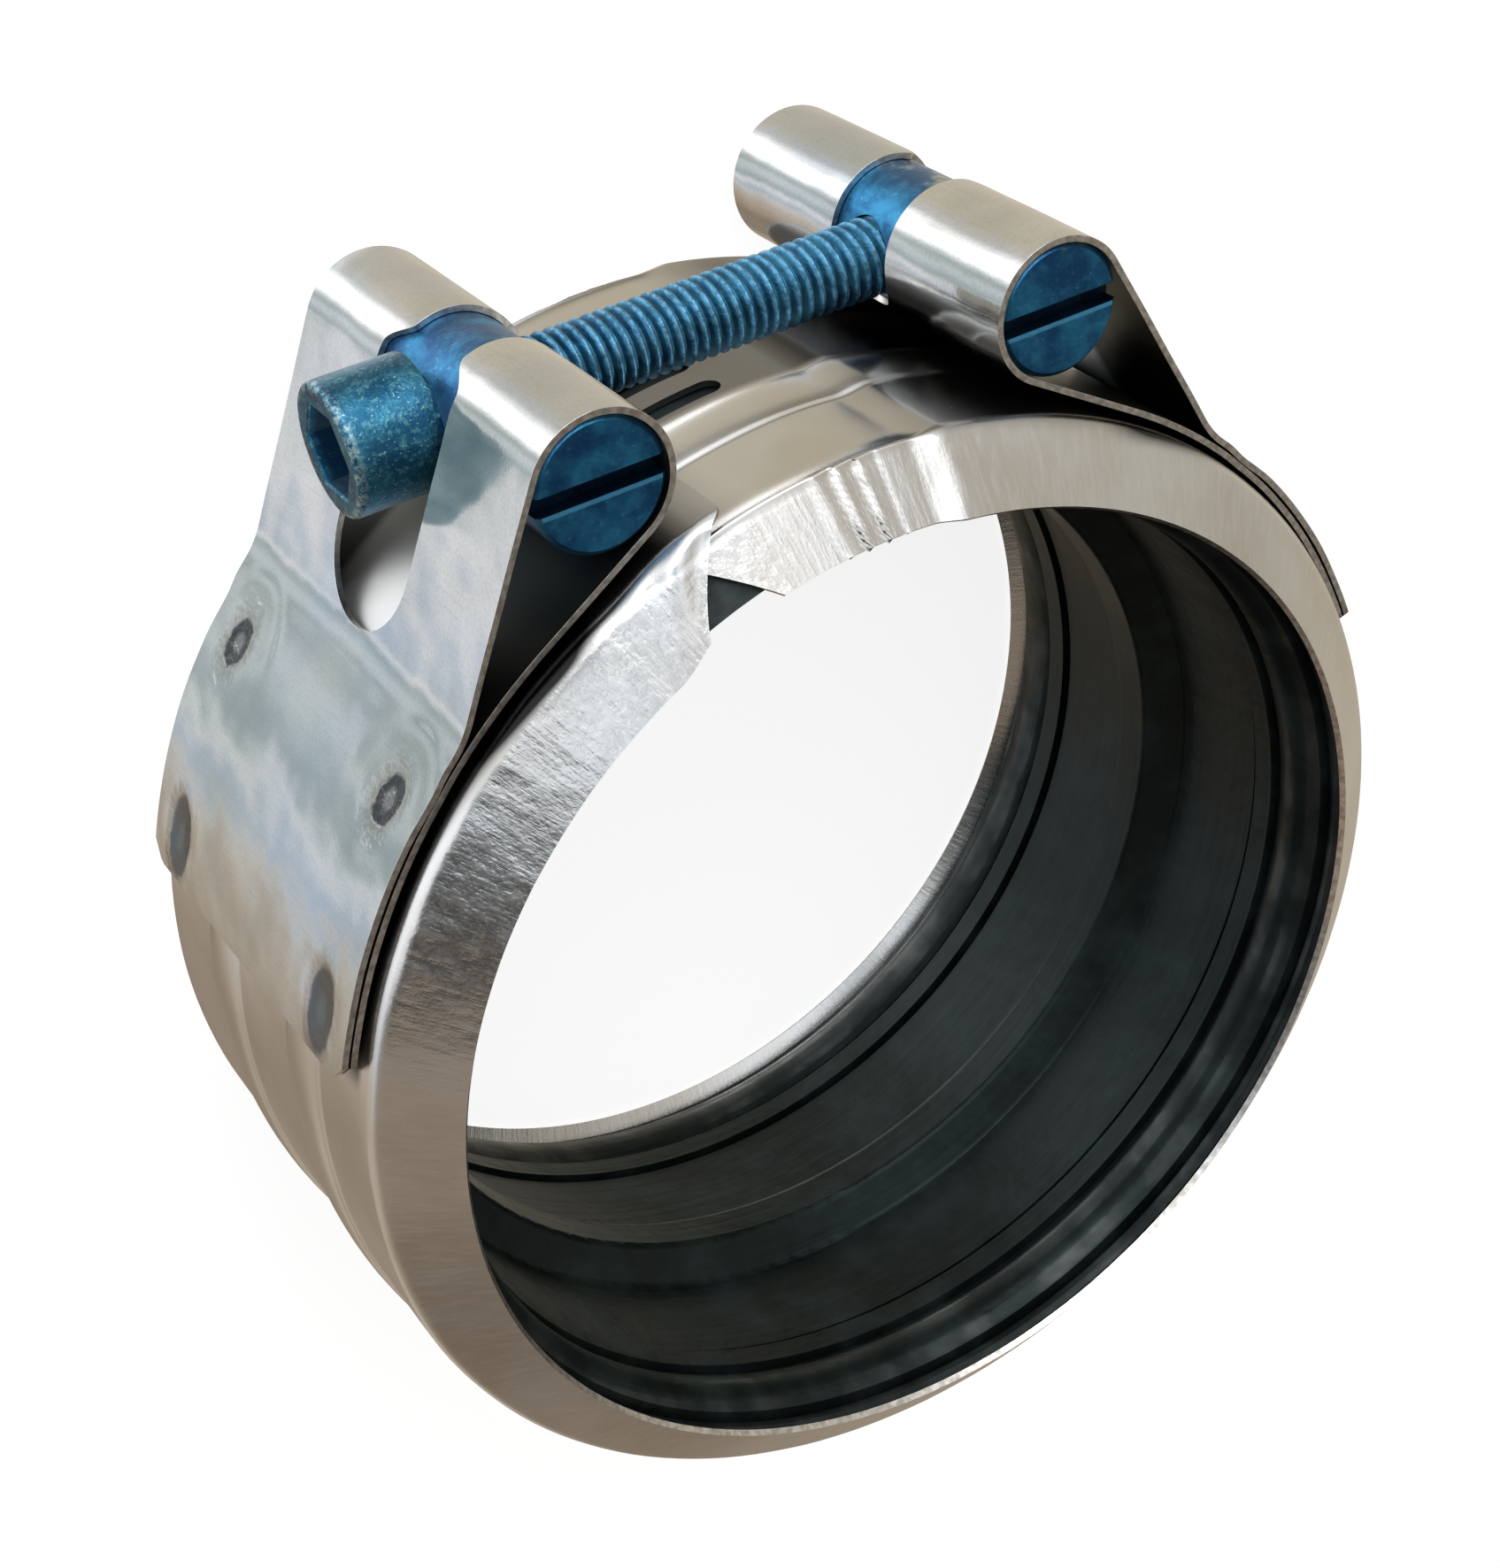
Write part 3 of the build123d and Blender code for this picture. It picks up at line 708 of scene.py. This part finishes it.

# Bolt
# A cold-headed steel screw with a rolled M6 thread and a hexagon socket in its tall round head.
# Its blue coating is scuffed on the head, and lighter on the crests of the thread, where a painted
# highlight is mixed with wear.

pitch, crest, root = 1.0, 3.0, 2.4
head_low, head_high, head_reach = 23.49, 30.49, 5.0
point_x = -21.51
flats, socket_depth = 6.2, 3.5
round_edge = 0.5
sides = 96
around = np.arange(sides) * 2 * math.pi / sides


def rounds(radii, places):
    """One ring of points round the bolt's axis, with its radius and x at each."""
    radii, places = np.broadcast_to(radii, sides), np.broadcast_to(places, sides)
    return np.stack([places, barrel_y + radii * np.cos(around), radii * np.sin(around)], -1)


sector = (around + math.pi / 6) % (math.pi / 3) - math.pi / 6
hexagon = flats / 2 / np.cos(sector)
bottom = head_high - socket_depth
rings = [rounds(0.01, bottom - 0.6), rounds(hexagon * 0.85, bottom), rounds(hexagon, bottom + 0.06)]
rings += [rounds(hexagon, x) for x in (bottom + 0.3, head_high - 0.5)]
rings += [rounds(hexagon, head_high - 0.12), rounds(hexagon + 0.12, head_high)]
for t in np.linspace(0, math.pi / 2, 7):
    inset = round_edge * (1 - math.sin(t))
    drop = round_edge * (1 - math.cos(t))
    rings.append(rounds(head_reach - inset, head_high - drop))
rings += [rounds(head_reach, x) for x in np.linspace(head_high - 0.8, head_low + 0.25, 5)]
rings += [rounds(head_reach - 0.06, head_low + 0.06), rounds(head_reach - 0.25, head_low)]
profile = np.array([root, root, root + 0.25, crest - 0.1, crest, crest, crest - 0.1, root + 0.25])
steps = len(profile)
for step in range(int((head_low - point_x + 1) * steps / pitch), -1, -1):
    places = point_x - 0.5 + step / steps * pitch + around / (2 * math.pi) * pitch
    tip = np.clip(crest - 0.8 + places - point_x, 0.01, None)
    rings.append(rounds(np.minimum(profile[step % steps], tip), np.clip(places, point_x, head_low)))
rings.append(rounds(0.01, point_x))
rings = np.array(rings)
index = np.arange(len(rings) * sides).reshape(-1, sides)
after = np.roll(index, -1, 1)
faces = np.stack([index[:-1], index[1:], after[1:], after[:-1]], -1).reshape(-1, 4)
mesh = bpy.data.meshes.new("screw")
mesh.from_pydata((rings.reshape(-1, 3) / 1000).tolist(), [], faces.tolist())
shape = bmesh.new()
shape.from_mesh(mesh)
bmesh.ops.remove_doubles(shape, verts=shape.verts, dist=2e-6)
bmesh.ops.dissolve_degenerate(shape, edges=shape.edges, dist=1e-7)
bmesh.ops.recalc_face_normals(shape, faces=shape.faces)
shape.to_mesh(mesh)
shape.free()
mesh.polygons.foreach_set("use_smooth", [True] * len(mesh.polygons))
mesh.set_sharp_from_angle(angle=math.radians(32))

scuffed_blue, shader, place = finish("blue_screw", metallic=0.85)
x, y, z = place.parts()
from_axis = ((y - barrel_y) ** 2 + z * z) ** 0.5
patch = place.grain(2.2, 3, 0.6)
scuff = place.grain(0.55, 4, 0.7)
spark = place.grain(0.2, 1)
head = x.rise(head_low - 0.3, head_low)
crests = from_axis.rise(crest - 0.35, crest) * (1 - head)
rim = from_axis.rise(head_reach - 0.75, head_reach - 0.35) * x.rise(head_high - 0.9, head_high - 0.1)
colour = patch.rise(0.35, 0.7).blend((0.010, 0.08, 0.16), (0.034, 0.17, 0.28))
# The thread's crests are lighter: a painted highlight, broken up by wear
colour = (crests * (0.3 + 0.7 * scuff.rise(0.4, 0.6))).blend(colour, (0.13, 0.37, 0.58))
colour = (head * scuff.rise(0.5, 0.64) * 0.7).blend(colour, (0.09, 0.27, 0.32))
bare_spots = spark.rise(0.67, 0.74) + rim * scuff.rise(0.42, 0.6)
colour = (head * bare_spots * 0.8).blend(colour, (0.36, 0.50, 0.52))
# Painted shade darkens the inside of the hexagon socket
socket = from_axis.rise(3.75, 3.65) * head * x.rise(head_high - 0.02, head_high - 0.9)
feed(shader,
     Base_Color=(socket * 0.92).blend(colour, (0.002, 0.02, 0.055)),
     Roughness=0.26 + scuff * 0.22,
     Normal=(scuff + spark * 0.3).relief(0.35, 0.0002))
mesh.materials.append(scuffed_blue)
screw = stand("screw", mesh)
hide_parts("bolt")
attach(screw, "bolt")
screw.visible_glossy = False

# A glowing rod within the head, unseen by the camera, stands for the bolt in reflections as a painted
# reflection, which would else be too blue
shade, shader, place = finish("reflection_shade", gloss=0)
feed(shader, Emission_Color=place.grain(3, 2).rise(0.3, 0.7).blend((0.16, 0.24, 0.26), (0.30, 0.38, 0.40)))
shader.inputs["Emission Strength"].default_value = 1
rod_inset = 0.2
bpy.ops.mesh.primitive_cylinder_add(
    radius=(head_reach - rod_inset) / 1000, depth=(head_high - head_low - 2 * rod_inset) / 1000,
    location=((head_low + head_high) / 2000, barrel_y / 1000, 0), rotation=(0, math.pi / 2, 0))
rod = bpy.context.object
rod.name = "reflection_shade"
rod.data.materials.append(shade)
rod.visible_camera = False
rod.visible_diffuse = False
rod.visible_shadow = False
